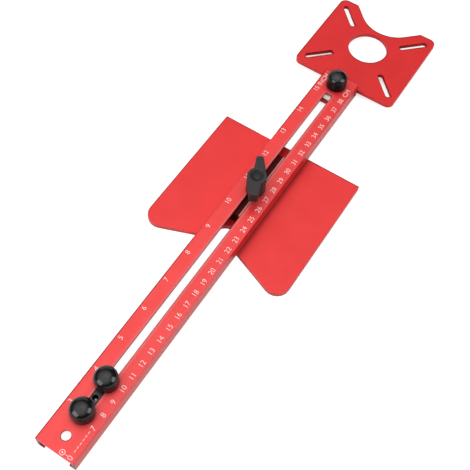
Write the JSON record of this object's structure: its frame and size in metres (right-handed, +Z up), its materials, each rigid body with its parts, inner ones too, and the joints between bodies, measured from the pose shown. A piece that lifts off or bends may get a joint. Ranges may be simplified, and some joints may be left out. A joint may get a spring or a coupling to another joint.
{
  "type": "router circle cutting jig",
  "caption": "Slotted channel arm with a printed scale, a router plate at one end, a sliding V edge guide with a clamp lever and a sliding pivot with clamp knobs.",
  "frame": {"origin": "centre of the bounding box, on the surface under the edge guide", "axes": "+X along the arm towards the router plate, +Y towards the inch side of the scale, +Z up"},
  "size_m": [0.4422, 0.1178, 0.0347],
  "materials": {
    "arm_red": "red anodised, satin",
    "plate_red": "red anodised, satin",
    "zinc_steel": "zinc plated",
    "knob_black": "gloss moulded",
    "lever_black": "satin moulded",
    "slider_black": "satin moulded"
  },
  "bodies": {
    "arm": {"ruler_arm": "arm_red", "router_plate": "plate_red", "clamp_block": "zinc_steel", "tongue_screw_right": "zinc_steel", "tongue_screw_left": "zinc_steel", "far_knob_washer": "zinc_steel"},
    "far_clamp": {"far_knob": "knob_black", "far_knob_stud": "zinc_steel"},
    "pivot": {"pivot_slider": "slider_black", "pivot_pin": "zinc_steel", "near_knob_washer": "zinc_steel", "mid_knob_washer": "zinc_steel"},
    "near_clamp": {"near_knob": "knob_black", "near_knob_stud": "zinc_steel"},
    "mid_clamp": {"mid_knob": "knob_black", "mid_knob_stud": "zinc_steel"},
    "guide": {"edge_guide_plate": "plate_red", "guide_key": "slider_black", "key_nut": "zinc_steel", "key_screw_near": "zinc_steel", "key_screw_far": "zinc_steel", "lever_washer": "zinc_steel"},
    "lever": {"clamp_lever": "lever_black", "lever_stud": "zinc_steel"}
  },
  "joints": [
    {"name": "guide_slide", "type": "slide", "parent": "arm", "child": "guide", "axis": [1, 0, 0], "range_m": [-0.04, 0.065]},
    {"name": "lever_turn", "type": "hinge", "parent": "guide", "child": "lever", "pos_m": [0.0061, 0, 0.0172], "axis": [0, 0, 1], "continuous": true},
    {"name": "pivot_slide", "type": "slide", "parent": "arm", "child": "pivot", "axis": [1, 0, 0], "range_m": [-0.003, 0.1]},
    {"name": "near_knob_turn", "type": "hinge", "parent": "pivot", "child": "near_clamp", "pos_m": [-0.193, 0, 0.0172], "axis": [0, 0, 1], "continuous": true},
    {"name": "mid_knob_turn", "type": "hinge", "parent": "pivot", "child": "mid_clamp", "pos_m": [-0.1691, 0, 0.0172], "axis": [0, 0, 1], "continuous": true},
    {"name": "far_knob_turn", "type": "hinge", "parent": "arm", "child": "far_clamp", "pos_m": [0.1257, 0, 0.0172], "axis": [0, 0, 1], "continuous": true}
  ]
}
